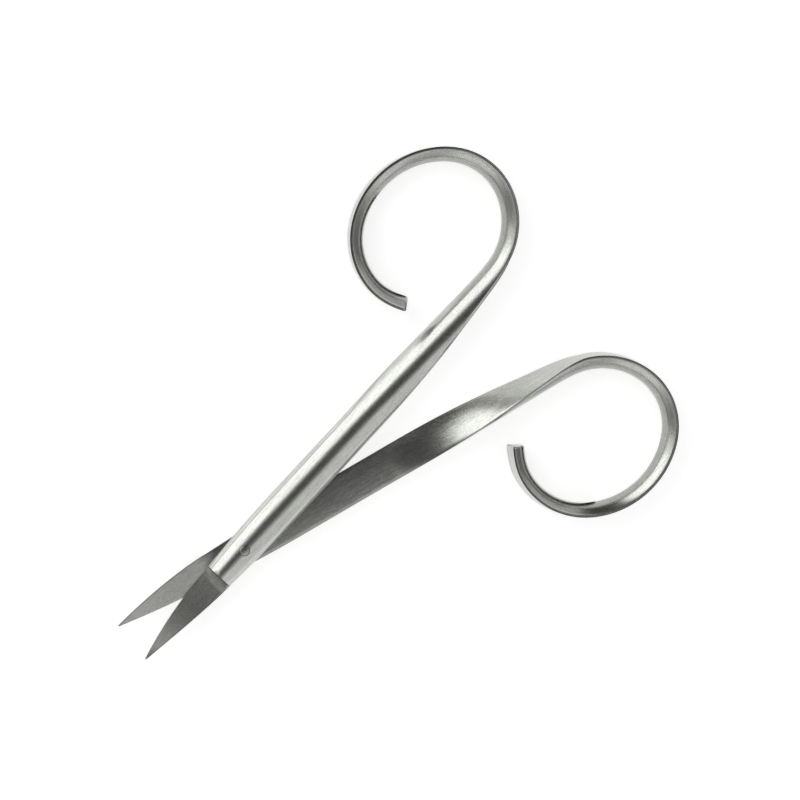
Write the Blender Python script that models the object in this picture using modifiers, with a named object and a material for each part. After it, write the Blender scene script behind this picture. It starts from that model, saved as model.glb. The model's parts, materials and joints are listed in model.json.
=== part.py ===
"""Curved nail scissors: two crossed bars of half-round steel and the rivet that joins them.

Each bar is ground to a thin, upturned blade at one end. At the other end it is twisted a quarter turn
on its way out and curled into an open finger ring. Lengths are in metres and +Z is up. The origin is
the centre of the rivet's lower end, +X runs between the two shanks towards the rings, and the scissors
are open by OPEN_ANGLE.

Each half is laid out in its own frame: x runs from the pivot along the shank, y is its left, and the
flat that meets the other half lies in the plane z = 0.
"""

import math

import bmesh
import bpy
from mathutils import Matrix, Vector

# How far the two shanks stand apart
OPEN_ANGLE = 17.13

# The half-round bar: flat on the mating side, a low square wall along each edge, then a round crown
BAR_WIDTH = 0.0054
BAR_HEIGHT = 0.00225
SIDE_WALL = 0.0004
FLAT_GAP = 0.0001

# The shank narrows towards the blade
PIVOT_TAPER_START = 0.008
SHOULDER_WIDTH = 0.0045
SHANK_LENGTH = 0.05624

# The quarter turn, a little short of square, that brings the flat to the outside of the ring
TWIST_START = 0.0258
TWIST_END = 0.0595
TWIST_DEGREES = 87.8
TWIST_EASE_SHARE = 0.15

# The ring's centre line in five bends, from the shank to the free end
RING_ENTRY_RADIUS = 0.01233
RING_FAR_RADIUS = 0.01086
RING_CROWN_RADIUS = 0.01478
RING_RETURN_RADIUS = 0.01156
RING_END_RADIUS = 0.0083
RING_ENTRY_DEGREES = 62.2
RING_FAR_DEGREES = 69.6
RING_CROWN_DEGREES = 76
RING_RETURN_DEGREES = 61.8
RING_END_DEGREES = 26.5
RING_EASE = 0.00515
RING_TAIL = 0.00165
RING_END_HEIGHT = 0.00215
RING_END_ROUND = 0.0004

# The blade, from the shoulder to the tip
SHOULDER_DISTANCE = 0.00545
SHOULDER_SLOPE = 0.00012
TIP_DISTANCE = 0.02207
CUT_ROOT = 0.00205
CUT_TIP = 0.00016
CUT_BELLY = 1.85
SPINE_TIP = 0.00002
SPINE_BELLY = 1.47
EDGE_THICKNESS = 0.0001
SPINE_THICKNESS = 0.00055
TIP_THICKNESS = 0.0003
SPINE_ROUND = 0.00006
SHOULDER_RISE = 0.00125
SHOULDER_RUN = 0.0016

# The blades turn up towards the tips, as a dish about the pivot's axis, so that they pass at any angle
DISH_START = 0.0068
DISH_RADIUS = 0.035

# The rivet: fast in the rear half, turning in the front half, its ends level with both crowns
RIVET_DIAMETER = 0.00155
RIVET_EDGE = 0.00008
SEAT_CLEARANCE = 0.00002
RUNNING_CLEARANCE = 0.00006
CUTTER_OVERRUN = 0.001

# Facets
TRACE_STEP = 0.0002
CREASE_DEGREES = 22
RIM_DEGREES = 45
BLADE_PARTS = 16
BLADE_CROWDING = 1.5
SHANK_PARTS = 8
CURL_PARTS = 58
END_PARTS = 3
FLAT_PARTS = 4
CROWN_PARTS = 12
STRIP_PARTS = 3
RIVET_PARTS = 32
RIVET_EDGE_PARTS = 2

# Measures that follow from the sizes above
MATING_HEIGHT = BAR_HEIGHT + FLAT_GAP / 2
BLADE_START = SHOULDER_DISTANCE + SHOULDER_SLOPE
RING_BENDS = (
    (RING_ENTRY_RADIUS, math.radians(RING_ENTRY_DEGREES)),
    (RING_FAR_RADIUS, math.radians(RING_FAR_DEGREES)),
    (RING_CROWN_RADIUS, math.radians(RING_CROWN_DEGREES)),
    (RING_RETURN_RADIUS, math.radians(RING_RETURN_DEGREES)),
    (RING_END_RADIUS, math.radians(RING_END_DEGREES)),
)
BAR_LENGTH = SHANK_LENGTH + sum(radius * turn for radius, turn in RING_BENDS) + RING_TAIL

SATIN_STEEL = (0.56, 0.56, 0.53, 1)
SATIN_ROUGHNESS = 0.3
RIVET_STEEL = (0.45, 0.45, 0.43, 1)
RIVET_ROUGHNESS = 0.35


def clear_scene():
    for old in list(bpy.data.objects):
        bpy.data.objects.remove(old)


def new_collection(name):
    collection = bpy.data.collections.new(name)
    bpy.context.scene.collection.children.link(collection)
    return collection


def metal(name, colour, roughness):
    material = bpy.data.materials.new(name)
    material.use_nodes = True
    shader = material.node_tree.nodes["Principled BSDF"]
    shader.inputs["Base Color"].default_value = colour
    shader.inputs["Metallic"].default_value = 1
    shader.inputs["Roughness"].default_value = roughness
    return material


def mix(start, end, share):
    return start + (end - start) * share


def within(share):
    return max(0.0, min(1.0, share))


def eased_step(place):
    """0 up to place = -1, 1 from place = 1, and a smooth rise between them."""
    place = max(-1.0, min(1.0, place))
    return 0.5 * (1 + place + math.sin(math.pi * place) / math.pi)


def bend_at(station):
    """How sharply the centre line bends at a distance along the bar: 1 / radius."""
    bend = 0.0
    last = 0.0
    start = SHANK_LENGTH
    for radius, turn in RING_BENDS:
        bend += (1 / radius - last) * eased_step((station - start) / RING_EASE)
        last = 1 / radius
        start += radius * turn
    return bend - last * eased_step((station - start) / RING_EASE)


def trace(stations):
    """The centre line's (x, y, heading) at each station: straight up to the pivot, then walked."""
    places = []
    x = y = heading = walked = 0.0
    for station in stations:
        if station <= 0:
            places.append((station, 0.0, 0.0))
            continue
        count = max(1, math.ceil((station - walked) / TRACE_STEP))
        step = (station - walked) / count
        for _ in range(count):
            turn = bend_at(walked + step / 2) * step
            x += math.cos(heading + turn / 2) * step
            y += math.sin(heading + turn / 2) * step
            heading += turn
            walked += step
        places.append((x, y, heading))
    return places


def twist_at(station):
    """The section's turn about the centre line: none on the shank, the whole of it on the ring."""
    share = within((station - TWIST_START) / (TWIST_END - TWIST_START))
    eased = share - TWIST_EASE_SHARE * math.sin(2 * math.pi * share) / (2 * math.pi)
    return math.radians(TWIST_DEGREES) * eased


def crown_height(across, half_width, height):
    """Height of the round crown above the flat, at a distance across the section."""
    rise = height - SIDE_WALL
    radius = (half_width**2 + rise**2) / (2 * rise)
    return height - radius + math.sqrt(max(0.0, radius**2 - across**2))


def bar_section(half_width, height, inset=0.0):
    """Half-round outline as (across, height) points: the flat from left to right, then the crown back."""
    rise = height - SIDE_WALL
    radius = (half_width**2 + rise**2) / (2 * rise)
    spread = math.asin(half_width / radius)
    points = [(mix(-half_width, half_width, i / FLAT_PARTS), 0.0) for i in range(FLAT_PARTS + 1)]
    for i in range(CROWN_PARTS + 1):
        angle = mix(spread, -spread, i / CROWN_PARTS)
        points.append((radius * math.sin(angle), height - radius + radius * math.cos(angle)))
    narrowing = 1 - inset / half_width
    lowering = 1 - 2 * inset / height
    return [(across * narrowing, inset + up * lowering) for across, up in points]


def blade_section(distance):
    """Ground outline in the same order as the bar's, so that the two can be joined point by point.

    The ground face rises from the cutting edge on the left to the spine on the right. Where it would
    stand above the bar's crown, a strip of the crown is left along the spine.
    """
    share = within((distance - BLADE_START) / (TIP_DISTANCE - BLADE_START))
    cut = mix(CUT_ROOT, CUT_TIP, share**CUT_BELLY)
    spine = mix(SHOULDER_WIDTH / 2, SPINE_TIP, share**SPINE_BELLY)
    ramp = (1 - within((distance - BLADE_START) / SHOULDER_RUN)) ** 2
    thickness = mix(SPINE_THICKNESS, TIP_THICKNESS, share) + SHOULDER_RISE * ramp

    def ground(across):
        return mix(EDGE_THICKNESS, thickness, (across + cut) / (spine + cut))

    def crown(across):
        return crown_height(across, SHOULDER_WIDTH / 2, BAR_HEIGHT)

    inner = spine - SPINE_ROUND
    outer_height = ground(spine) - SPINE_ROUND
    if crown(inner) < ground(inner):
        low, high = -cut, inner
        while high - low > SPINE_ROUND / CROWN_PARTS:
            middle = (low + high) / 2
            if crown(middle) < ground(middle):
                high = middle
            else:
                low = middle
        inner = low
        outer_height = crown(spine)
    points = [(mix(-cut, spine, i / FLAT_PARTS), 0.0) for i in range(FLAT_PARTS + 1)]
    points.append((spine, outer_height))
    for i in range(1, STRIP_PARTS + 1):
        across = mix(spine, inner, i / STRIP_PARTS)
        sloped = mix(outer_height, ground(inner), i / STRIP_PARTS)
        points.append((across, max(sloped, min(crown(across), ground(across)))))
    ground_parts = CROWN_PARTS - STRIP_PARTS
    for i in range(1, ground_parts + 1):
        across = mix(inner, -cut, i / ground_parts)
        points.append((across, ground(across)))
    return points


def shank_half_width(station):
    share = within((station + SHOULDER_DISTANCE) / (PIVOT_TAPER_START + SHOULDER_DISTANCE))
    return mix(SHOULDER_WIDTH, BAR_WIDTH, math.sin(math.pi / 2 * share)) / 2


def sections():
    """(station, outline) pairs from the blade's tip to the ring's free end."""
    found = []
    for i in range(BLADE_PARTS, -1, -1):
        distance = mix(BLADE_START, TIP_DISTANCE, (i / BLADE_PARTS) ** BLADE_CROWDING)
        found.append((-distance, blade_section(distance)))
    for i in range(SHANK_PARTS):
        station = mix(-SHOULDER_DISTANCE, TWIST_START, i / SHANK_PARTS)
        found.append((station, bar_section(shank_half_width(station), BAR_HEIGHT)))
    curl_end = BAR_LENGTH - RING_END_ROUND
    for i in range(CURL_PARTS):
        station = mix(TWIST_START, curl_end, i / CURL_PARTS)
        thinning = within((station - SHANK_LENGTH) / (BAR_LENGTH - SHANK_LENGTH))
        height = mix(BAR_HEIGHT, RING_END_HEIGHT, thinning)
        found.append((station, bar_section(BAR_WIDTH / 2, height)))
    for i in range(END_PARTS + 1):
        angle = math.pi / 2 * i / END_PARTS
        station = curl_end + RING_END_ROUND * math.sin(angle)
        inset = RING_END_ROUND * (1 - math.cos(angle))
        found.append((station, bar_section(BAR_WIDTH / 2, RING_END_HEIGHT, inset)))
    return found


def dish(point):
    """The blade's upward curve: a lift that grows with the distance from the pivot's axis."""
    if point.x > 0:
        return 0.0
    reach = max(0.0, math.hypot(point.x, point.y) - DISH_START)
    return DISH_RADIUS - math.sqrt(DISH_RADIUS**2 - reach**2)


def loft(mesh, outlines):
    """Skin with a closed outline at each step and a flat cap at each end."""
    shape = bmesh.new()
    loops = [[shape.verts.new(point) for point in outline] for outline in outlines]
    for first, second in zip(loops, loops[1:]):
        count = len(first)
        for i in range(count):
            j = (i + 1) % count
            shape.faces.new((first[i], first[j], second[j], second[i]))
    shape.faces.new(loops[0])
    shape.faces.new(reversed(loops[-1]))
    bmesh.ops.recalc_face_normals(shape, faces=shape.faces)
    shape.to_mesh(mesh)
    shape.free()


def half_outlines(turned_over):
    """Outlines of one half, tip first. The rear half is the same bar turned over about its length."""
    stations_and_outlines = sections()
    places = trace([station for station, _ in stations_and_outlines])
    flip = Matrix.Rotation(math.pi, 3, "X") if turned_over else Matrix.Identity(3)
    outlines = []
    for (station, outline), (x, y, heading) in zip(stations_and_outlines, places):
        twist = twist_at(station)
        left = Vector((-math.sin(heading), math.cos(heading), 0))
        up = Vector((0, 0, 1))
        outward = up * math.cos(twist) + left * math.sin(twist)
        across = up * math.sin(twist) - left * math.cos(twist)
        centre = Vector((x, y, 0)) + outward * FLAT_GAP / 2
        points = [flip @ (centre + across * a + outward * h) for a, h in outline]
        outlines.append([point + Vector((0, 0, dish(point))) for point in points])
    return outlines


def bore_cutter(name, diameter, collection):
    """Drill on the pivot's axis, long enough to pass both halves."""
    drill = bmesh.new()
    bmesh.ops.create_cone(
        drill,
        cap_ends=True,
        segments=RIVET_PARTS,
        radius1=diameter / 2,
        radius2=diameter / 2,
        depth=2 * (MATING_HEIGHT + CUTTER_OVERRUN),
    )
    mesh = bpy.data.meshes.new(name)
    drill.to_mesh(mesh)
    drill.free()
    cutter = bpy.data.objects.new(name, mesh)
    cutter.location.z = MATING_HEIGHT
    cutter.hide_render = True
    cutter.display_type = "WIRE"
    collection.objects.link(cutter)
    return cutter


def scissor_half(name, turned_over, angle, cutter, collection, material):
    mesh = bpy.data.meshes.new(name)
    loft(mesh, half_outlines(turned_over))
    mesh.materials.append(material)
    half = bpy.data.objects.new(name, mesh)
    half.location.z = MATING_HEIGHT
    half.rotation_euler.z = math.radians(angle)
    collection.objects.link(half)
    bore = half.modifiers.new("rivet_bore", "BOOLEAN")
    bore.object = cutter
    bore.operation = "DIFFERENCE"
    bore.solver = "EXACT"
    return half


def rivet(name, collection, material):
    """Plain pin with eased ends."""
    pin = bmesh.new()
    bmesh.ops.create_cone(
        pin,
        cap_ends=True,
        segments=RIVET_PARTS,
        radius1=RIVET_DIAMETER / 2,
        radius2=RIVET_DIAMETER / 2,
        depth=2 * MATING_HEIGHT,
    )
    mesh = bpy.data.meshes.new(name)
    pin.to_mesh(mesh)
    pin.free()
    mesh.materials.append(material)
    made = bpy.data.objects.new(name, mesh)
    made.location.z = MATING_HEIGHT
    collection.objects.link(made)
    edge = made.modifiers.new("eased_ends", "BEVEL")
    edge.width = RIVET_EDGE
    edge.segments = RIVET_EDGE_PARTS
    edge.limit_method = "ANGLE"
    edge.angle_limit = math.radians(RIM_DEGREES)
    return made


def shade_round(piece):
    piece.data.shade_smooth()
    piece.data.set_sharp_from_angle(angle=math.radians(CREASE_DEGREES))


def main():
    clear_scene()
    parts = new_collection("curved_nail_scissors")
    cutters = new_collection("cutters")
    steel = metal("satin_steel", SATIN_STEEL, SATIN_ROUGHNESS)
    rivet_steel = metal("rivet_steel", RIVET_STEEL, RIVET_ROUGHNESS)
    seat = bore_cutter("rear_rivet_seat", RIVET_DIAMETER + 2 * SEAT_CLEARANCE, cutters)
    running = bore_cutter("front_rivet_bore", RIVET_DIAMETER + 2 * RUNNING_CLEARANCE, cutters)
    scissor_half("front_half", False, OPEN_ANGLE / 2, running, parts, steel)
    scissor_half("rear_half", True, -OPEN_ANGLE / 2, seat, parts, steel)
    rivet("pivot_rivet", parts, rivet_steel)
    for piece in parts.objects:
        shade_round(piece)


main()
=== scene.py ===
"""Curved nail scissors: the two forged bars, their satin finish, the rivet, the light and the camera.

Lengths are in metres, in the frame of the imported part: the origin is the centre of the rivet's lower
end, +X runs between the two shanks towards the rings and +Z is up. A bar is forged along its own x axis,
with its flat side down and its round crown up, and is then turned into its place.
"""

import json
import math

import bmesh
import bpy
import numpy as np
from mathutils import Matrix, Vector
from mathutils.kdtree import KDTree


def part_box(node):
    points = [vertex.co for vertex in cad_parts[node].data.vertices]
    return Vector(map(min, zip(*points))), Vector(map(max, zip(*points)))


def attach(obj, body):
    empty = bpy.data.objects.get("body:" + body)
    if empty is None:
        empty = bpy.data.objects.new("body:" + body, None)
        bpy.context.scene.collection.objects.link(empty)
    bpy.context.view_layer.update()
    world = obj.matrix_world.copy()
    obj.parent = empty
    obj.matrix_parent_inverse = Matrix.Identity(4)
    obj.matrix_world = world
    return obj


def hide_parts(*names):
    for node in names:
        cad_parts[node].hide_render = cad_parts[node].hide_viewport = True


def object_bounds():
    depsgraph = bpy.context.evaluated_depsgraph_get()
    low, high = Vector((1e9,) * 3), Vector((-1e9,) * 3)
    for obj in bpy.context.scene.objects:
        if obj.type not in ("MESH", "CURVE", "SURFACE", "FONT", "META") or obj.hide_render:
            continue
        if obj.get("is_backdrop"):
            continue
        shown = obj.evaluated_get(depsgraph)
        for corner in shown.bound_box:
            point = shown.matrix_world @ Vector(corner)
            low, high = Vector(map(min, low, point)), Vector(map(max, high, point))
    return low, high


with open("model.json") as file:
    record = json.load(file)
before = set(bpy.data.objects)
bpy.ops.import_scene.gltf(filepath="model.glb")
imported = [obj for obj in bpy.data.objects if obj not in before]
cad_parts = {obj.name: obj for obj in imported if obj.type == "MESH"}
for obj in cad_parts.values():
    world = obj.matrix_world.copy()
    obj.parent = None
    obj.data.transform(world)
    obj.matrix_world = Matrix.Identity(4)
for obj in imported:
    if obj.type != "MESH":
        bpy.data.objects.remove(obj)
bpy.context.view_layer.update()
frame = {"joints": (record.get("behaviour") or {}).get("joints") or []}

# What the frame gives: the pivot's height, and how far the shanks stand apart
PIVOT = frame["joints"][0]
MATING_HEIGHT = PIVOT["pos_m"][2]
OPEN_ANGLE = math.radians(-PIVOT["range_deg"][0])
RIVET_LOW, RIVET_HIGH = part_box("pivot_rivet")
RIVET_RADIUS = RIVET_HIGH.x
RIVET_LENGTH = RIVET_HIGH.z - RIVET_LOW.z

# The half-round bar
BAR_WIDTH = 0.0054
BAR_HEIGHT = 0.00225
SIDE_WALL = 0.0004
FLAT_GAP = 0.0001
FLAT_LEVEL = FLAT_GAP / 2
EDGE_ROUND = 0.00007
CREASE_ROUND = 0.00003
PIVOT_TAPER_START = 0.008
SHOULDER_WIDTH = 0.0045
SHANK_LENGTH = 0.05624

# The quarter turn between the shank and the ring
TWIST_START = 0.0258
TWIST_END = 0.0595
TWIST = math.radians(87.8)
TWIST_EASE_SHARE = 0.15

# The ring's bends, as radius and turn, from the shank to the free end
RING_BENDS = (
    (0.01233, math.radians(62.2)),
    (0.01086, math.radians(69.6)),
    (0.01478, math.radians(76)),
    (0.01156, math.radians(61.8)),
    (0.0083, math.radians(26.5)),
)
RING_EASE = 0.00515
RING_TAIL = 0.00165
RING_END_HEIGHT = 0.00215
RING_END_ROUND = 0.0004
BAR_LENGTH = SHANK_LENGTH + sum(radius * turned for radius, turned in RING_BENDS) + RING_TAIL

# The blade
SHOULDER_DISTANCE = 0.00545
SHOULDER_SLOPE = 0.00012
BLADE_START = SHOULDER_DISTANCE + SHOULDER_SLOPE
TIP_DISTANCE = 0.02207
CUT_ROOT = 0.00205
CUT_TIP = 0.00016
CUT_BELLY = 1.85
SPINE_TIP = 0.00002
SPINE_BELLY = 1.47
EDGE_THICKNESS = 0.0001
SPINE_THICKNESS = 0.00055
TIP_THICKNESS = 0.0003
SHOULDER_RISE = 0.00125
SHOULDER_RUN = 0.0016
DISH_START = 0.0068
DISH_RADIUS = 0.035

# The rivet and its holes. The last two tell the pin's side from its end by how far up a face points
SEAT_CLEARANCE = 0.00002
RUNNING_CLEARANCE = 0.00006
OVERRUN = 0.001
RIM_ROUND = 0.00008
RIM_BEVEL_SHARE = 0.98
FLUSH_ROUND = 0.00004
SIDE_TILT = 0.5
END_TILT = 0.8

# How finely each form is made
WELD = 0.000002
CROWN_SIDES = 120
FLAT_CUTS = 9
STRAIGHT_DEGREES = 1
EDGE_SEGMENTS = 3
CREASE_SEGMENTS = 2
END_SEGMENTS = 4
TRACE_STEP = 0.0002
SHANK_STEP = 0.0008
RING_STEP = 0.0004
BLADE_STEPS = 40
GROUND_STEPS = 90
PAST_TIP_STEPS = 2
GROUND_ROWS = 10
BORE_SIDES = 96
RIVET_SIDES = 96
SHARP_DEGREES = 32

# The steel's colours and roughness
STEEL_DARK = (0.36, 0.366, 0.345)
STEEL_LIGHT = (0.58, 0.588, 0.554)
BAR_ROUGHNESS = 0.24
BAR_ROUGHNESS_SPREAD = 0.03
GROUND_DARK = (0.225, 0.228, 0.214)
GROUND_LIGHT = (0.35, 0.354, 0.333)
# Painted highlight: the ground blade is painted lighter towards its tip, from where this distance along the
# bar
PAINTED_TIP_HIGHLIGHT_DARK = (0.36, 0.365, 0.342)
PAINTED_TIP_HIGHLIGHT_LIGHT = (0.54, 0.546, 0.513)
PAINTED_TIP_HIGHLIGHT_FROM = 0.012
GROUND_ROUGHNESS = 0.38
LAPPED_DARK = (0.41, 0.414, 0.396)
LAPPED_LIGHT = (0.6, 0.605, 0.58)
LAPPED_ROUGHNESS = 0.46
ROUGHNESS_SPREAD = 0.05
CLOUDED_SHARE = 0.25
BRUSHING_SHARE = 0.3
ANISOTROPY = 0.3
ACROSS_THE_GRAIN = 0.25

# The steel's marks, in marks to the metre along, across and up through the bar
FINE_MARKS = (5500, 7500, 7500)
BRUSH_MARKS = (500, 6500, 6500)
CLOUD_MARKS = (160, 900, 900)
MARK_DETAIL = 3
FINE_ROUGHNESS = 0.65
SPECKLE_RANGE = (0.41, 0.59)
MARK_STRENGTH = 0.4
MARK_DEPTH = 0.00002

# The radius of the flat's slight roundness
FLAT_RADIUS = 0.045

# Where one finish gives way to the next: two heights over the flat, or two distances along the bar
OVER_FLAT = (FLAT_LEVEL + 0.00002, FLAT_LEVEL + 0.00006)
AT_SHOULDER = (-SHOULDER_DISTANCE - 0.0002, -SHOULDER_DISTANCE)
PAST_PIVOT = (-SHOULDER_DISTANCE - 0.0016, -SHOULDER_DISTANCE + 0.0016)

# Painted shade: the dark lines along the edges, along the filed strip beside them and at the shoulder's step
PAINTED_SHADE_COLOUR = (0.05, 0.05, 0.047)
LINE_WIDTH = 0.0001
LINE_FADE = 1.6 * LINE_WIDTH
LINE_ON_SHANK = 0.55
RING_LINE = (TWIST_END - 0.012, TWIST_END + 0.015)
FILED_WIDE = 0.0005
FILED_NARROW = 0.0002
FILED_LINE_STRENGTH = 0.45
FILED_LINE_FADE = (0.00003, 0.0001)
MIDDLE_FADE = 0.0001
STEP_START = (-SHOULDER_DISTANCE - 0.00002, -SHOULDER_DISTANCE)
STEP_END = (-BLADE_START - 0.00006, -BLADE_START - 0.00002)

# The rivet's look
RIVET_DARK = (0.26, 0.264, 0.247)
RIVET_LIGHT = (0.46, 0.466, 0.438)
RIVET_ROUGHNESS = 0.26
RIVET_RINGS = 22000
RIVET_CLOUDS = 1500
RIVET_MARK_RANGE = (0.12, 0.4)
RIVET_MARK_STRENGTH = 0.15
RIVET_MARK_DEPTH = 0.00001

# The camera: the two leans of its view, the turn of the scissors in the picture, and its place
CAMERA_LEAN_X = math.radians(4.04)
CAMERA_LEAN_Y = math.radians(7.4534)
PICTURE_TURN = math.radians(38.72)
CAMERA_X = -0.02375
CAMERA_Y = -0.02262
CAMERA_DISTANCE = 0.65163
LENS = 193.55
SENSOR_WIDTH = 36
NEAREST_SEEN = 0.01
FARTHEST_SEEN = 10

# The floor, the room and the lamp
FLOOR_SIZE = 3
FLOOR_GLOW = 0.6
FLOOR_ROUGHNESS = 0.25
FLOOR_DARK = (0.895, 0.895, 0.895)
FLOOR_LIGHT = (0.905, 0.905, 0.905)
FLOOR_CLOUDS = 4
ROOM_LIGHT = 0.45
LAMP_POWER = 1.0
LAMP_SIZE = 0.5
LAMP_AZIMUTH = 138
LAMP_POLAR = 45
LAMP_DISTANCE = 0.9

# What the steel reflects. Each card: name, azimuth in the picture, angle from straight up, width and height
# in degrees, how much of it fades out towards its rim, level and distance
WALL_LEVEL = 0.58
WALL_DISTANCE = 1.1
WALL_HEIGHT = 2.6
WALL_SIDES = 64
CARDS = (
    ("grey ceiling", 0, 1, 110, 110, 0.5, 0.75, 1.05),
    ("softbox", 133, 69, 55, 72, 0.25, 2.1, 0.9),
    ("dark camera", 80, 11, 64, 64, 0.65, 0.01, 0.6),
    ("dark right", 0, 62, 50, 66, 0.6, 0.2, 0.8),
    ("dark upper", 89, 62, 34, 84, 0.2, 0.015, 0.8),
    ("grey left", 196, 58, 40, 66, 0.6, 0.31, 0.8),
    ("pale left", 166, 66, 24, 66, 0.8, 1.1, 0.82),
    ("pale lower left", 253, 73, 60, 66, 0.6, 1.05, 0.85),
    ("pale lower right", 319, 60, 27, 84, 0.45, 0.95, 0.85),
    ("pale upper right", 42, 38, 46, 26, 0.6, 1.3, 0.55),
    ("dark far right", 20, 95, 96, 36, 0.5, 0.05, 0.75),
)

# Slips of painted shade inside the rings, for the shade the rings cast on the floor there, as the steel
# reflects it: grey ones that lie on the floor, and dark ones that stand in it, so that their faded foot is
# hidden. Each slip: name, middle and, if it stands, the way it faces in the picture
LYING_SHADE_SLIPS = (
    ("grey slip in the front ring", (0.0545, 0.0205)),
    ("grey slip in the rear ring", (0.0545, -0.0215)),
)
LYING_HALF_WIDTH = 0.009
LYING_HEIGHT = 0.0001
LYING_FADING = 0.5
LYING_LEVEL = 0.8
STANDING_SHADE_SLIPS = (
    ("dark slip in the front ring", (0.0464, 0.0208), 192),
    ("dark slip in the rear ring", (0.0464, -0.0214), 220),
)
STANDING_HALF_WIDTH = 0.009
STANDING_HEIGHT = 0.0086
STANDING_TOP = 0.0039
STANDING_FADING = 0.3
STANDING_LEVEL = 0.01


# Selecting and editing

def deselect_all():
    bpy.ops.object.select_all(action="DESELECT")


def pick(piece):
    """Selects one piece and nothing else."""
    deselect_all()
    piece.select_set(True)
    bpy.context.view_layer.objects.active = piece


def edit(piece):
    pick(piece)
    bpy.ops.object.mode_set(mode="EDIT")


def done():
    bpy.ops.object.mode_set(mode="OBJECT")


def choose(piece, kind, test):
    """Selects the vertices, edges or faces that pass a test, in edit mode, and nothing else."""
    bpy.ops.mesh.select_mode(type={"verts": "VERT", "edges": "EDGE", "faces": "FACE"}[kind])
    bpy.ops.mesh.select_all(action="DESELECT")
    shape = bmesh.from_edit_mesh(piece.data)
    for part in getattr(shape, kind):
        part.select_set(test(part))
    bmesh.update_edit_mesh(piece.data)


def face_outwards():
    """Turns all faces of the edited piece outwards."""
    bpy.ops.mesh.select_all(action="SELECT")
    bpy.ops.mesh.normals_make_consistent(inside=False)


def settle():
    """Writes the active piece's place, turn and size into its mesh."""
    bpy.ops.object.transform_apply(location=True, rotation=True, scale=True)


def apply_modifier(piece, name, kind, **settings):
    pick(piece)
    modifier = piece.modifiers.new(name, kind)
    for setting, value in settings.items():
        setattr(modifier, setting, value)
    bpy.ops.object.modifier_apply(modifier=name)


def cut_with(piece, tool, name, operation):
    """Applies a boolean with a tool, and puts the tool away."""
    apply_modifier(piece, name, "BOOLEAN", object=tool, operation=operation, solver="EXACT")
    bpy.data.objects.remove(tool)


def shade(piece):
    """Shades a piece smooth with its sharp edges kept."""
    pick(piece)
    bpy.ops.object.shade_smooth_by_angle(angle=math.radians(SHARP_DEGREES))
    apply_modifier(piece, "even shading", "WEIGHTED_NORMAL", keep_sharp=True)


def directions(axis):
    """Three directions at right angles, of which the third is the axis."""
    third = Vector(axis).normalized()
    first = third.orthogonal().normalized()
    return [tuple(row) for row in (first, third.cross(first), third)]


def turn(angle, axis, centre):
    """Turns what is selected by the right hand about an axis through a point."""
    bpy.ops.transform.rotate(
        value=angle,
        orient_axis="Z",
        orient_type="GLOBAL",
        orient_matrix=directions(axis),
        orient_matrix_type="GLOBAL",
        constraint_axis=(False, False, True),
        center_override=tuple(centre),
    )


def stretch(share, axis, centre):
    """Scales what is selected along one axis, from a point."""
    bpy.ops.transform.resize(
        value=(1, 1, share),
        orient_type="GLOBAL",
        orient_matrix=directions(axis),
        orient_matrix_type="GLOBAL",
        constraint_axis=(False, False, True),
        center_override=tuple(centre),
    )


def extrude(move):
    bpy.ops.mesh.extrude_region_move(TRANSFORM_OT_translate={"value": tuple(move)})


# The way along the bar

def mix(start, end, share):
    return start + (end - start) * share


def within(share):
    return max(0.0, min(1.0, share))


def spread(start, end, step):
    """Even places from the start to the end, no farther apart than the step."""
    count = math.ceil((end - start) / step)
    return [mix(start, end, i / count) for i in range(count + 1)]


def bend_at(station):
    """How sharply the centre line bends at a distance along the bar: 1 / radius."""
    bend = last = 0.0
    start = SHANK_LENGTH

    def risen(place):
        place = max(-1.0, min(1.0, place))
        return 0.5 * (1 + place + math.sin(math.pi * place) / math.pi)

    for radius, angle in RING_BENDS:
        bend += (1 / radius - last) * risen((station - start) / RING_EASE)
        last = 1 / radius
        start += radius * angle
    return bend - last * risen((station - start) / RING_EASE)


def trace(stations):
    """The centre line's (x, y, heading) at each station."""
    places = []
    x = y = heading = walked = 0.0
    for station in stations:
        if station <= 0:
            places.append((station, 0.0, 0.0))
            continue
        count = max(1, math.ceil((station - walked) / TRACE_STEP))
        step = (station - walked) / count
        for _ in range(count):
            bend = bend_at(walked + step / 2) * step
            x += math.cos(heading + bend / 2) * step
            y += math.sin(heading + bend / 2) * step
            heading += bend
            walked += step
        places.append((x, y, heading))
    return places


def twist_at(station):
    """How far the bar is turned over at a distance along it."""
    share = within((station - TWIST_START) / (TWIST_END - TWIST_START))
    return TWIST * (share - TWIST_EASE_SHARE * math.sin(2 * math.pi * share) / (2 * math.pi))


def width_at(station):
    share = within((station + SHOULDER_DISTANCE) / (PIVOT_TAPER_START + SHOULDER_DISTANCE))
    return mix(SHOULDER_WIDTH, BAR_WIDTH, math.sin(math.pi / 2 * share))


def height_at(station):
    share = within((station - SHANK_LENGTH) / (BAR_LENGTH - SHANK_LENGTH))
    return mix(BAR_HEIGHT, RING_END_HEIGHT, share)


def crown_radius(width):
    """The radius of the round side, over the low side walls."""
    rise = BAR_HEIGHT - SIDE_WALL
    return ((width / 2) ** 2 + rise**2) / (2 * rise)


def blade_sides(share):
    """How far the blade reaches to its cutting edge and to its spine, at a share of its length."""
    cut = mix(CUT_ROOT, CUT_TIP, share**CUT_BELLY)
    spine = mix(SHOULDER_WIDTH / 2, SPINE_TIP, share**SPINE_BELLY)
    return cut, spine


def margin_at(station, across):
    """The distance in from the bar's nearer edge, or from the blade's spine."""
    if station < -BLADE_START:
        share = within((-station - BLADE_START) / (TIP_DISTANCE - BLADE_START))
        return across + blade_sides(share)[1]
    return width_at(station) / 2 - abs(across)


# Forging the bar

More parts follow.
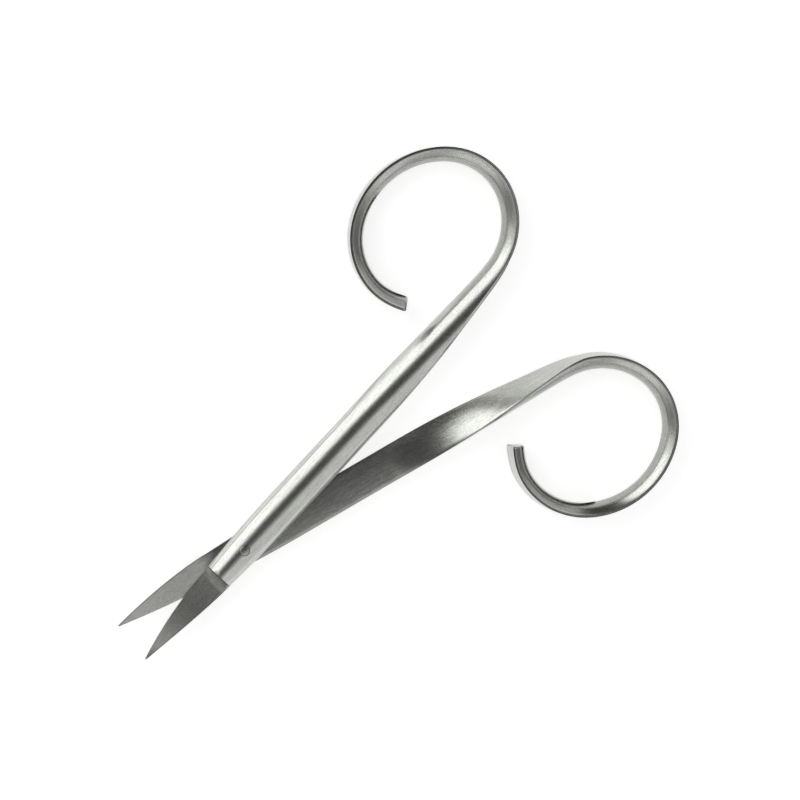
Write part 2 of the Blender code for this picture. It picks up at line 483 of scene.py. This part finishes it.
def draw_section():
    """The bar's half-round outline at the shoulder: a disc cut off level, with low walls under it."""
    radius = crown_radius(BAR_WIDTH)
    wall_top = FLAT_LEVEL + SIDE_WALL
    deselect_all()
    bpy.ops.mesh.primitive_circle_add(
        vertices=CROWN_SIDES,
        radius=radius,
        fill_type="NGON",
        location=(-SHOULDER_DISTANCE, 0, FLAT_LEVEL + BAR_HEIGHT - radius),
        rotation=(0, math.pi / 2, 0),
    )
    bar = bpy.context.object
    settle()
    edit(bar)
    bpy.ops.mesh.select_all(action="SELECT")
    bpy.ops.mesh.bisect(plane_co=(0, 0, wall_top), plane_no=(0, 0, 1), clear_inner=True, threshold=WELD)
    choose(bar, "edges", lambda edge: all(vert.co.z < wall_top + WELD for vert in edge.verts))
    extrude((0, 0, -SIDE_WALL))
    bpy.ops.mesh.select_all(action="SELECT")
    bpy.ops.mesh.dissolve_limited(angle_limit=math.radians(STRAIGHT_DEGREES))
    choose(bar, "edges", lambda edge: all(vert.co.z < FLAT_LEVEL + WELD for vert in edge.verts))
    bpy.ops.mesh.subdivide(number_cuts=FLAT_CUTS)

    def at_side(vert):
        return abs(abs(vert.co.y) - BAR_WIDTH / 2) < WELD

    choose(bar, "verts", lambda vert: at_side(vert) and vert.co.z < FLAT_LEVEL + WELD)
    bpy.ops.mesh.bevel(affect="VERTICES", offset=EDGE_ROUND, segments=EDGE_SEGMENTS)
    choose(bar, "verts", lambda vert: at_side(vert) and vert.co.z > wall_top - WELD)
    bpy.ops.mesh.bevel(affect="VERTICES", offset=CREASE_ROUND, segments=CREASE_SEGMENTS)
    return bar


def draw_out(bar):
    """Draws the bar from the shoulder to the ring's free end, turning, curling and thinning it on the way."""
    stations = spread(-SHOULDER_DISTANCE, PIVOT_TAPER_START, SHANK_STEP)
    stations += spread(PIVOT_TAPER_START, TWIST_START, SHANK_STEP)[1:]
    stations += spread(TWIST_START, BAR_LENGTH, RING_STEP)[1:]
    places = [(Vector((x, y, 0)), heading) for x, y, heading in trace(stations)]
    up = Vector((0, 0, 1))
    choose(bar, "faces", lambda face: True)
    stretch(width_at(stations[0]) / BAR_WIDTH, (0, 1, 0), places[0][0])
    for i in range(1, len(stations)):
        before, station = stations[i - 1], stations[i]
        (start, old_heading), (end, heading) = places[i - 1], places[i]
        extrude(end - start)
        along = Vector((math.cos(heading), math.sin(heading), 0))
        left = Vector((-math.sin(heading), math.cos(heading), 0))
        if station <= PIVOT_TAPER_START:
            stretch(width_at(station) / width_at(before), left, end)
        if station > TWIST_START:
            turn(heading - old_heading, up, end)
            turn(twist_at(before) - twist_at(station), along, end)
        if station > SHANK_LENGTH:
            outward = up * math.cos(twist_at(station)) + left * math.sin(twist_at(station))
            stretch(height_at(station) / height_at(before), outward, end)
    bpy.ops.mesh.region_to_loop()
    bpy.ops.mesh.bevel(offset=RING_END_ROUND, segments=END_SEGMENTS)


def draw_blade(bar):
    """Draws the other end into the leaf outline of the blade, still with the bar's full height."""
    bar_end = -SHOULDER_DISTANCE + WELD
    choose(bar, "faces", lambda face: all(vert.co.x < bar_end for vert in face.verts))
    distance, cut, spine = SHOULDER_DISTANCE, SHOULDER_WIDTH / 2, SHOULDER_WIDTH / 2
    for i in range(BLADE_STEPS + 1):
        share = i / BLADE_STEPS
        next_distance = mix(BLADE_START, TIP_DISTANCE, share)
        next_cut, next_spine = blade_sides(share)
        middle = (next_cut - next_spine) / 2
        extrude((distance - next_distance, middle - (cut - spine) / 2, 0))
        stretch((next_cut + next_spine) / (cut + spine), (0, 1, 0), (-next_distance, middle, 0))
        distance, cut, spine = next_distance, next_cut, next_spine


def grinding_face():
    """The wheel's sweep over the blade: all that lies above the ground face, as a solid to take away."""
    step = (TIP_DISTANCE - BLADE_START) / GROUND_STEPS
    steps = GROUND_STEPS + PAST_TIP_STEPS
    wheel_height = 2 * BAR_HEIGHT
    above_bar = 1.5 * BAR_HEIGHT
    deselect_all()
    bpy.ops.mesh.primitive_grid_add(
        x_subdivisions=steps,
        y_subdivisions=GROUND_ROWS,
        size=1,
        location=(-BLADE_START - step * steps / 2, 0, 0),
    )
    wheel = bpy.context.object
    wheel.scale = (step * steps, BAR_WIDTH, 1)
    settle()
    edit(wheel)
    for i in range(steps + 1):
        distance = BLADE_START + step * i
        share = within(i / GROUND_STEPS)
        cut, spine = blade_sides(share)
        ramp = (1 - within((distance - BLADE_START) / SHOULDER_RUN)) ** 2
        thickness = mix(SPINE_THICKNESS, TIP_THICKNESS, share) + SHOULDER_RISE * ramp
        slope = (thickness - EDGE_THICKNESS) / (spine + cut)
        choose(wheel, "verts", lambda vert: abs(vert.co.x + distance) < step / 2)
        bpy.ops.transform.translate(value=(0, 0, FLAT_LEVEL + EDGE_THICKNESS + slope * cut))
        tilt_row(wheel, slope)
    bpy.ops.mesh.select_all(action="SELECT")
    extrude((0, 0, wheel_height))
    front = -BLADE_START - WELD
    choose(wheel, "verts", lambda vert: vert.co.x > front and vert.co.z > above_bar)
    bpy.ops.transform.translate(value=(SHOULDER_SLOPE, 0, 0))
    face_outwards()
    done()
    return wheel


def tilt_row(piece, slope):
    """Tilts a straight row of points across the blade, so that it rises towards the spine."""
    tilt = math.atan(slope)
    turn(-tilt, (1, 0, 0), row_centre(piece))
    stretch(math.hypot(1, slope), (0, math.cos(tilt), -math.sin(tilt)), row_centre(piece))


def row_centre(piece):
    chosen = [vert.co for vert in bmesh.from_edit_mesh(piece.data).verts if vert.select]
    return sum(chosen, Vector()) / len(chosen)


def forge():
    """One half in its own frame: the bar along x, flat side down, the blade pointing to -x."""
    bar = draw_section()
    draw_out(bar)
    draw_blade(bar)
    face_outwards()
    done()
    cut_with(bar, grinding_face(), "grind", "DIFFERENCE")
    return bar


def dish(half):
    """Bends the blade upwards, more and more towards the tip."""
    lifts = []
    for vert in half.data.vertices:
        away = math.hypot(vert.co.x, vert.co.y) - DISH_START
        reach = max(0.0, away) if vert.co.x < 0 else 0.0
        lifts.append(DISH_RADIUS - math.sqrt(DISH_RADIUS**2 - reach**2))
    highest = max(lifts)
    group = half.vertex_groups.new(name="dish")
    for i, lift in enumerate(lifts):
        if lift > 0:
            group.add([i], lift / highest, "REPLACE")
    apply_modifier(
        half, "dish", "DISPLACE", direction="Z", mid_level=0, strength=highest, vertex_group="dish"
    )
    half.vertex_groups.clear()


def bore(half, clearance):
    deselect_all()
    bpy.ops.mesh.primitive_cylinder_add(
        vertices=BORE_SIDES, radius=RIVET_RADIUS + clearance, depth=2 * (MATING_HEIGHT + OVERRUN)
    )
    cut_with(half, bpy.context.object, "bore", "DIFFERENCE")


def place(half, matrix):
    half.matrix_world = matrix
    pick(half)
    settle()


def finish_half(half, name):
    half.name = half.data.name = name
    edit(half)
    bpy.ops.mesh.select_all(action="SELECT")
    bpy.ops.mesh.remove_doubles(threshold=WELD)
    face_outwards()
    done()
    while half.data.uv_layers:
        half.data.uv_layers.remove(half.data.uv_layers[0])
    shade(half)


def note_places(half, forged_to_placed):
    """Writes on each vertex where it lies on the bar (along, across, height), how far in from the edge it is,
    and which way the bar runs there."""
    stations = spread(0, BAR_LENGTH, TRACE_STEP)
    path = trace(stations)
    line = KDTree(len(path))
    for k, (x, y, _) in enumerate(path):
        line.insert((x, y, 0), k)
    line.balance()
    placed_to_forged = forged_to_placed.inverted()
    places, margins, grains = [], [], []
    for vert in half.data.vertices:
        point = placed_to_forged @ vert.co
        station, across, height, heading = point.x, point.y, point.z, 0.0
        if point.x > 0:
            _, k, _ = line.find((point.x, point.y, 0))
            x, y, heading = path[k]
            station, twist = stations[k], twist_at(stations[k])
            left = (point.y - y) * math.cos(heading) - (point.x - x) * math.sin(heading)
            across = left * math.cos(twist) - point.z * math.sin(twist)
            height = point.z * math.cos(twist) + left * math.sin(twist)
        places.append((station, across, height))
        margins.append(margin_at(station, across))
        grains.append(forged_to_placed.to_3x3() @ Vector((math.cos(heading), math.sin(heading), 0)))
    for name, values in (("bar_place", places), ("grain", grains)):
        layer = half.data.attributes.new(name, "FLOAT_VECTOR", "POINT")
        layer.data.foreach_set("vector", np.array(values).ravel())
    half.data.attributes.new("margin", "FLOAT", "POINT").data.foreach_set("value", margins)


def make_halves():
    """Both halves are one forging: the rear one is a copy turned over, and each blade is dished upwards."""
    front = forge()
    pick(front)
    bpy.ops.object.duplicate()
    rear = bpy.context.object
    over = Matrix.Rotation(math.pi, 4, "X")
    place(rear, over)
    lifted = Matrix.Translation((0, 0, MATING_HEIGHT))
    for half, clearance, angle, name, turned in (
        (front, RUNNING_CLEARANCE, OPEN_ANGLE / 2, "front_scissor_half", Matrix.Identity(4)),
        (rear, SEAT_CLEARANCE, -OPEN_ANGLE / 2, "rear_scissor_half", over),
    ):
        dish(half)
        bore(half, clearance)
        swung = lifted @ Matrix.Rotation(angle, 4, "Z")
        place(half, swung)
        finish_half(half, name)
        note_places(half, swung @ turned)
    return front, rear


# The rivet

def make_rivet():
    """A pin with its lower rim rounded over and its upper end ground to the curve of the front crown."""
    deselect_all()
    bpy.ops.mesh.primitive_cylinder_add(
        vertices=RIVET_SIDES,
        radius=RIVET_RADIUS,
        depth=RIVET_LENGTH,
        location=(0, 0, RIVET_LOW.z + RIVET_LENGTH / 2),
    )
    pin = bpy.context.object
    settle()
    edit(pin)
    low_end = RIVET_LOW.z + WELD

    def on_rim(vert):
        return math.hypot(vert.co.x, vert.co.y) > RIVET_RADIUS - WELD and vert.co.z < low_end

    choose(pin, "faces", lambda face: all(vert.co.z < low_end for vert in face.verts))
    bpy.ops.mesh.inset(thickness=RIM_ROUND)
    choose(pin, "edges", lambda edge: all(on_rim(vert) for vert in edge.verts))
    bpy.ops.mesh.bevel(offset=RIM_ROUND * RIM_BEVEL_SHARE, segments=END_SEGMENTS)
    face_outwards()
    done()
    grind_flush(pin)
    shade(pin)
    pin.name = pin.data.name = "rivet"
    return pin


def grind_flush(pin):
    """Takes the pin's upper end down to the crown of the front half and rounds the new rim."""
    width = width_at(0)
    radius = crown_radius(width)
    deselect_all()
    bpy.ops.mesh.primitive_cylinder_add(
        vertices=2 * CROWN_SIDES,
        radius=radius,
        depth=width,
        location=(0, 0, MATING_HEIGHT + FLAT_LEVEL + BAR_HEIGHT - radius),
        rotation=(0, math.pi / 2, OPEN_ANGLE / 2),
    )
    cut_with(pin, bpy.context.object, "grind flush", "INTERSECT")
    edit(pin)
    upper_part = RIVET_HIGH.z - BAR_HEIGHT / 4

    def on_new_rim(edge):
        if min(vert.co.z for vert in edge.verts) <= upper_part:
            return False
        beside_side = any(abs(face.normal.z) < SIDE_TILT for face in edge.link_faces)
        return beside_side and any(face.normal.z > END_TILT for face in edge.link_faces)

    choose(pin, "edges", on_new_rim)
    bpy.ops.mesh.bevel(offset=FLUSH_ROUND, segments=EDGE_SEGMENTS)
    done()


# Materials

class Nodes:
    """Adds and joins the nodes of a material or of the world."""

    def __init__(self, owner):
        owner.use_nodes = True
        self.owner = owner
        self.tree = owner.node_tree

    def shader(self, socket):
        return self.tree.nodes["Principled BSDF"].inputs[socket]

    def add(self, kind, **settings):
        node = self.tree.nodes.new(kind)
        for setting, value in settings.items():
            setattr(node, setting, value)
        return node

    def join(self, source, target):
        self.tree.links.new(source, target)

    def set_or_join(self, value, socket):
        if isinstance(value, (int, float)):
            socket.default_value = value
        elif isinstance(value, tuple):
            socket.default_value = (*value, 1)
        else:
            self.join(value, socket)

    def attribute(self, name, output):
        return self.add("ShaderNodeAttribute", attribute_name=name).outputs[output]

    def object_place(self):
        return self.add("ShaderNodeTexCoord").outputs["Object"]

    def parts(self, vector):
        """A vector's x, y and z."""
        node = self.add("ShaderNodeSeparateXYZ")
        self.join(vector, node.inputs["Vector"])
        return node.outputs["X"], node.outputs["Y"], node.outputs["Z"]

    def reckon(self, operation, first, second=0):
        node = self.add("ShaderNodeMath", operation=operation)
        self.set_or_join(first, node.inputs[0])
        self.set_or_join(second, node.inputs[1])
        return node.outputs["Value"]

    def times(self, first, *others):
        for other in others:
            first = self.reckon("MULTIPLY", first, other)
        return first

    def stretched(self, coordinates, scale):
        """Coordinates scaled along each of their own three directions."""
        node = self.add("ShaderNodeVectorMath", operation="MULTIPLY")
        self.join(coordinates, node.inputs[0])
        node.inputs[1].default_value = scale
        return node.outputs["Vector"]

    def noise(self, coordinates, detail=2.0, rough=0.5):
        node = self.add("ShaderNodeTexNoise")
        self.join(coordinates, node.inputs["Vector"])
        node.inputs["Scale"].default_value = 1
        node.inputs["Detail"].default_value = detail
        node.inputs["Roughness"].default_value = rough
        return node.outputs[0]

    def ranged(self, value, low, high, from_low=0.3, from_high=0.7, **settings):
        """A value brought from one range into another. The first is the range of most noise, unless given."""
        node = self.add("ShaderNodeMapRange", **settings)
        self.join(value, node.inputs["Value"])
        numbers = {"From Min": from_low, "From Max": from_high, "To Min": low, "To Max": high}
        for name, number in numbers.items():
            node.inputs[name].default_value = number
        return node.outputs["Result"]

    def blend(self, share, first, second):
        """A colour between two colours."""
        node = self.add("ShaderNodeMix", data_type="RGBA")
        for socket, value in ((0, share), (6, first), (7, second)):
            self.set_or_join(value, node.inputs[socket])
        return node.outputs[2]

    def level(self, share, first, second):
        """A number between two numbers."""
        node = self.add("ShaderNodeMix", data_type="FLOAT")
        for socket, value in ((0, share), (2, first), (3, second)):
            self.set_or_join(value, node.inputs[socket])
        return node.outputs[0]

    def bump(self, height, strength, depth, under=None):
        """A relief, over another one if that is given."""
        node = self.add("ShaderNodeBump")
        self.join(height, node.inputs["Height"])
        self.set_or_join(strength, node.inputs["Strength"])
        node.inputs["Distance"].default_value = depth
        if under:
            self.join(under, node.inputs["Normal"])
        return node.outputs["Normal"]

    def mixed(self, share, first, second, surface):
        """Joins two shaders, mixed by a share, to the surface."""
        node = self.add("ShaderNodeMixShader")
        for i, source in enumerate((share, first.outputs[0], second.outputs[0])):
            self.join(source, node.inputs[i])
        self.join(node.outputs[0], surface)

    def shown_rays(self):
        """1 for what the camera, reflections and glass see, and 0 for the light that falls on things."""
        path = self.add("ShaderNodeLightPath").outputs
        shown = self.reckon("MAXIMUM", path["Is Camera Ray"], path["Is Glossy Ray"])
        return self.reckon("MAXIMUM", shown, path["Is Transmission Ray"])


def satin_steel():
    """Forged steel with a fine-grained satin finish, darker and coarser where the blade is ground, with a
    painted highlight towards the blade's tip and painted shade in dark lines.
    """
    make = Nodes(bpy.data.materials.new("satin brushed steel"))
    bar_place = make.attribute("bar_place", "Vector")
    along, across, height = make.parts(bar_place)
    above_flat = make.ranged(height, 0, 1, *OVER_FLAT)
    on_flat = make.ranged(height, 1, 0, *OVER_FLAT)
    on_blade = make.ranged(along, 1, 0, *AT_SHOULDER)
    ground = make.times(on_blade, above_flat)
    lapped = make.times(make.ranged(along, 1, 0, *PAST_PIVOT), on_flat)

    fine = make.noise(make.stretched(bar_place, FINE_MARKS), MARK_DETAIL, FINE_ROUGHNESS)
    brushing = make.noise(make.stretched(bar_place, BRUSH_MARKS), MARK_DETAIL)
    clouds = make.noise(make.stretched(bar_place, CLOUD_MARKS), MARK_DETAIL)
    marks = make.level(BRUSHING_SHARE, fine, brushing)
    speckle = make.ranged(marks, 0, 1, *SPECKLE_RANGE)

    bar_colour = make.blend(speckle, STEEL_DARK, STEEL_LIGHT)
    clouded = make.blend(make.ranged(clouds, 0, 1), STEEL_DARK, STEEL_LIGHT)
    bar_colour = make.blend(CLOUDED_SHARE, bar_colour, clouded)
    ground_colour = make.blend(speckle, GROUND_DARK, GROUND_LIGHT)
    # Painted highlight: the ground blade is painted lighter towards its tip
    painted_tip_highlight = make.blend(speckle, PAINTED_TIP_HIGHLIGHT_DARK, PAINTED_TIP_HIGHLIGHT_LIGHT)
    tip_highlight_share = make.ranged(along, 1, 0, -TIP_DISTANCE, -PAINTED_TIP_HIGHLIGHT_FROM)
    ground_colour = make.blend(tip_highlight_share, ground_colour, painted_tip_highlight)
    lapped_colour = make.blend(speckle, LAPPED_DARK, LAPPED_LIGHT)
    colour = make.blend(ground, bar_colour, ground_colour)
    colour = make.blend(lapped, colour, lapped_colour)
    # Painted shade: the dark lines are laid over the steel's colour
    for line in painted_shade_lines(make, along, across, height, on_blade, above_flat):
        colour = make.blend(line, colour, PAINTED_SHADE_COLOUR)
    make.join(colour, make.shader("Base Color"))

    bar_rough = spread_about(make, marks, BAR_ROUGHNESS, BAR_ROUGHNESS_SPREAD)
    ground_rough = spread_about(make, marks, GROUND_ROUGHNESS, ROUGHNESS_SPREAD)
    lapped_rough = spread_about(make, marks, LAPPED_ROUGHNESS, ROUGHNESS_SPREAD)
    rough = make.level(lapped, make.level(ground, bar_rough, ground_rough), lapped_rough)
    make.join(rough, make.shader("Roughness"))
    grained = make.bump(marks, MARK_STRENGTH, MARK_DEPTH)
    rounded = make.times(across, across, -1 / (2 * FLAT_RADIUS))
    make.join(make.bump(rounded, on_flat, 1, under=grained), make.shader("Normal"))

    grain = make.add(
        "ShaderNodeVectorTransform", vector_type="VECTOR", convert_from="OBJECT", convert_to="WORLD"
    )
    make.join(make.attribute("grain", "Vector"), grain.inputs["Vector"])
    make.join(grain.outputs["Vector"], make.shader("Tangent"))
    make.shader("Anisotropic").default_value = ANISOTROPY
    make.shader("Anisotropic Rotation").default_value = ACROSS_THE_GRAIN
    make.shader("Metallic").default_value = 1
    return make.owner


def spread_about(make, marks, middle, half_width):
    """Marks brought into a narrow range on both sides of a middle."""
    return make.ranged(marks, middle - half_width, middle + half_width)


def painted_shade_lines(make, along, across, height, on_blade, above_flat):
    """Painted shade: the dark lines beside the filed strip, along the edges, and at the step from the bar to
    the blade.
    """
    margin = make.attribute("margin", "Fac")
    filed_at = make.ranged(along, FILED_WIDE, FILED_NARROW, -SHOULDER_DISTANCE, TWIST_END)
    from_filed = make.reckon("ABSOLUTE", make.reckon("SUBTRACT", margin, filed_at))
    painted_filed_shade = make.times(
        make.ranged(from_filed, FILED_LINE_STRENGTH, 0, *FILED_LINE_FADE),
        above_flat,
        make.ranged(across, 0, 1, -MIDDLE_FADE, MIDDLE_FADE),
        make.ranged(along, 1, 0, TWIST_START, TWIST_END),
        make.ranged(along, 0, 1, -BLADE_START, -SHOULDER_DISTANCE),
    )
    at_edge = make.ranged(margin, 1, 0, LINE_WIDTH, LINE_FADE)
    low = make.ranged(height, 1, 0, FLAT_LEVEL + LINE_WIDTH, FLAT_LEVEL + LINE_FADE)
    painted_edge_shade = make.times(
        at_edge, make.level(on_blade, low, 1.0), make.ranged(along, LINE_ON_SHANK, 1, *RING_LINE)
    )
    painted_step_shade = make.times(
        make.ranged(along, 1, 0, *STEP_START), make.ranged(along, 0, 1, *STEP_END), above_flat
    )
    return painted_filed_shade, painted_edge_shade, painted_step_shade


def turned_steel():
    """The rivet's end, faced off with fine rings about its middle."""
    make = Nodes(bpy.data.materials.new("turned rivet steel"))
    place = make.object_place()
    away = make.add("ShaderNodeVectorMath", operation="LENGTH")
    make.join(make.stretched(place, (1, 1, 0)), away.inputs[0])
    outward = make.add("ShaderNodeCombineXYZ")
    make.join(away.outputs["Value"], outward.inputs["X"])
    rings = make.noise(make.stretched(outward.outputs["Vector"], (RIVET_RINGS, 1, 1)))
    clouds = make.noise(make.stretched(place, (RIVET_CLOUDS, RIVET_CLOUDS, RIVET_CLOUDS)), MARK_DETAIL)
    share = make.ranged(make.times(rings, clouds), 0, 1, *RIVET_MARK_RANGE)
    make.join(make.blend(share, RIVET_DARK, RIVET_LIGHT), make.shader("Base Color"))
    make.join(spread_about(make, rings, RIVET_ROUGHNESS, ROUGHNESS_SPREAD), make.shader("Roughness"))
    make.join(make.bump(rings, RIVET_MARK_STRENGTH, RIVET_MARK_DEPTH), make.shader("Normal"))
    make.shader("Metallic").default_value = 1
    return make.owner


def white_floor():
    """A near-white floor that glows only for the camera, reflections and glass."""
    make = Nodes(bpy.data.materials.new("white floor"))
    clouds = make.noise(make.stretched(make.object_place(), (FLOOR_CLOUDS, FLOOR_CLOUDS, FLOOR_CLOUDS)))
    make.join(make.blend(make.ranged(clouds, 0, 1), FLOOR_DARK, FLOOR_LIGHT), make.shader("Base Color"))
    make.shader("Roughness").default_value = FLOOR_ROUGHNESS
    make.shader("Emission Color").default_value = (1, 1, 1, 1)
    make.join(make.times(make.shown_rays(), FLOOR_GLOW), make.shader("Emission Strength"))
    return make.owner


def card_glow(name, level, fading=0, one_sided=False):
    """An even glow that fades to nothing at the card's rim, seen from both sides or from the front alone."""
    make = Nodes(bpy.data.materials.new(name))
    make.tree.nodes.clear()
    glow = make.add("ShaderNodeEmission")
    glow.inputs["Strength"].default_value = level
    surface = make.add("ShaderNodeOutputMaterial").inputs["Surface"]
    if not fading:
        make.join(glow.outputs[0], surface)
        return make.owner
    across, over, _ = make.parts(make.object_place())
    shares = []
    for side in (across, over):
        from_middle = make.reckon("ABSOLUTE", side)
        shares.append(make.ranged(from_middle, 0, 1, 1, 1 - fading, interpolation_type="SMOOTHSTEP"))
    share = make.times(*shares)
    if one_sided:
        from_behind = make.add("ShaderNodeNewGeometry").outputs["Backfacing"]
        share = make.times(share, make.reckon("SUBTRACT", 1, from_behind))
    make.mixed(share, make.add("ShaderNodeBsdfTransparent"), glow, surface)
    return make.owner


# Light, floor and camera

def toward(azimuth, polar):
    """The direction at an azimuth seen in the picture and an angle from straight up."""
    azimuth, polar = math.radians(azimuth) - PICTURE_TURN, math.radians(polar)
    return Vector((math.cos(azimuth) * math.sin(polar), math.sin(azimuth) * math.sin(polar), math.cos(polar)))


def floor_level():
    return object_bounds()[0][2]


def hang_sheet(name, middle, out, half_size, material):
    """A sheet at a place, facing a direction, seen only in the steel."""
    deselect_all()
    bpy.ops.mesh.primitive_plane_add(size=2)
    sheet = bpy.context.object
    sheet.name = sheet.data.name = name
    across = Vector((0, 0, 1)).cross(out).normalized()
    turned = Matrix((across, out.cross(across).normalized(), out)).transposed().to_4x4()
    sheet.matrix_world = Matrix.Translation(middle) @ turned @ Matrix.Diagonal((*half_size, 1, 1))
    sheet.data.materials.append(material)
    reflected_only(sheet)


def reflected_only(sheet):
    """Hides a sheet from all but the reflections."""
    sheet.visible_camera = sheet.visible_diffuse = sheet.visible_shadow = False
    sheet.visible_transmission = sheet.visible_volume_scatter = False
    sheet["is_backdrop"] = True


def hang_card(name, azimuth, polar, wide, tall, fading, level, distance):
    """A studio card that the scissors reflect; wide and tall are angles."""
    out = toward(azimuth, polar)
    half_size = [distance * math.tan(math.radians(angle) / 2) for angle in (wide, tall)]
    hang_sheet(name, out * distance, out, half_size, card_glow(name, level, fading))


def lay_shade_slip(name, middle):
    """A grey slip lying on the floor inside a ring: painted shade for the floor that the ring shades, as the
    steel reflects it.
    """
    deselect_all()
    bpy.ops.mesh.primitive_plane_add(size=2)
    slip = bpy.context.object
    slip.name = slip.data.name = name
    slip.location = (*middle, floor_level() + LYING_HEIGHT)
    slip.scale = (LYING_HALF_WIDTH, LYING_HALF_WIDTH, 1)
    slip.data.materials.append(card_glow(name, LYING_LEVEL, LYING_FADING))
    reflected_only(slip)


def stand_shade_slip(name, middle, facing):
    """A dark slip standing inside a ring, with its foot in the floor, seen only from its front: painted shade
    for the ring's shadow on the floor, as the steel reflects it.
    """
    centre = (*middle, floor_level() + STANDING_TOP - STANDING_HEIGHT / 2)
    half_size = (STANDING_HALF_WIDTH, STANDING_HEIGHT / 2)
    glow = card_glow(name, STANDING_LEVEL, STANDING_FADING, one_sided=True)
    hang_sheet(name, centre, toward(facing, 90), half_size, glow)


def raise_wall():
    """The grey wall round the table."""
    deselect_all()
    bpy.ops.mesh.primitive_cylinder_add(
        vertices=WALL_SIDES,
        radius=WALL_DISTANCE,
        depth=WALL_HEIGHT,
        end_fill_type="NOTHING",
        location=(0, 0, WALL_HEIGHT / 2),
    )
    wall = bpy.context.object
    wall.name = wall.data.name = "grey wall"
    wall.data.materials.append(card_glow("grey wall", WALL_LEVEL))
    reflected_only(wall)


def light_room():
    """The room's even light, which the camera, reflections and glass see as white."""
    world = bpy.data.worlds.new("white room")
    bpy.context.scene.world = world
    make = Nodes(world)
    make.tree.nodes.clear()
    room = make.add("ShaderNodeBackground")
    room.inputs["Color"].default_value = (ROOM_LIGHT, ROOM_LIGHT, ROOM_LIGHT, 1)
    white = make.add("ShaderNodeBackground")
    white.inputs["Color"].default_value = (1, 1, 1, 1)
    make.mixed(make.shown_rays(), room, white, make.add("ShaderNodeOutputWorld").inputs["Surface"])


def hang_lamp():
    """The lamp over the softbox's side, which gives the floor its soft shadow."""
    lamp = bpy.data.lights.new("softbox lamp", "AREA")
    lamp.shape = "SQUARE"
    lamp.size = LAMP_SIZE
    lamp.energy = LAMP_POWER
    lamp.use_shadow = True
    lit = bpy.data.objects.new("softbox lamp", lamp)
    bpy.context.scene.collection.objects.link(lit)
    out = toward(LAMP_AZIMUTH, LAMP_POLAR)
    lit.location = out * LAMP_DISTANCE
    lit.rotation_euler = out.to_track_quat("Z", "Y").to_euler()
    lit.visible_glossy = False
    lit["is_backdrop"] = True


def studio():
    """A white room, with the wall, the cards and the slips of painted shade that the steel reflects."""
    light_room()
    raise_wall()
    for values in CARDS:
        hang_card(*values)
    for values in LYING_SHADE_SLIPS:
        lay_shade_slip(*values)
    for values in STANDING_SHADE_SLIPS:
        stand_shade_slip(*values)
    hang_lamp()


def lay_floor():
    deselect_all()
    bpy.ops.mesh.primitive_plane_add(size=FLOOR_SIZE, location=(0, 0, floor_level()))
    floor = bpy.context.object
    floor.name = floor.data.name = "floor"
    floor.data.materials.append(white_floor())
    floor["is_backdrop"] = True


def set_camera():
    """The picture's own view: nearly straight down, the rings up and to the right."""
    lean = Matrix.Rotation(CAMERA_LEAN_Y, 3, "Y") @ Matrix.Rotation(CAMERA_LEAN_X, 3, "X")
    turned = Matrix.Rotation(-PICTURE_TURN, 3, "Z") @ lean.transposed()
    camera = bpy.data.cameras.new("camera")
    camera.lens = LENS
    camera.sensor_width = SENSOR_WIDTH
    camera.clip_start = NEAREST_SEEN
    camera.clip_end = FARTHEST_SEEN
    seen = bpy.data.objects.new("camera", camera)
    bpy.context.scene.collection.objects.link(seen)
    spot = Vector((0, 0, MATING_HEIGHT)) + turned @ Vector((-CAMERA_X, -CAMERA_Y, CAMERA_DISTANCE))
    seen.matrix_world = Matrix.Translation(spot) @ turned.to_4x4()
    bpy.context.scene.camera = seen


front, rear = make_halves()
rivet = make_rivet()
steel = satin_steel()
pin_steel = turned_steel()
for piece, body, node, slot, material in (
    (front, "front", "front_half", "satin_steel", steel),
    (rear, "rear", "rear_half", "satin_steel", steel),
    (rivet, "rear", "pivot_rivet", "rivet_steel", pin_steel),
):
    piece.data.materials.clear()
    piece.data.materials.append(material)
    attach(piece, body)
    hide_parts(node)

studio()
lay_floor()
set_camera()
bpy.context.scene.view_settings.view_transform = "Standard"
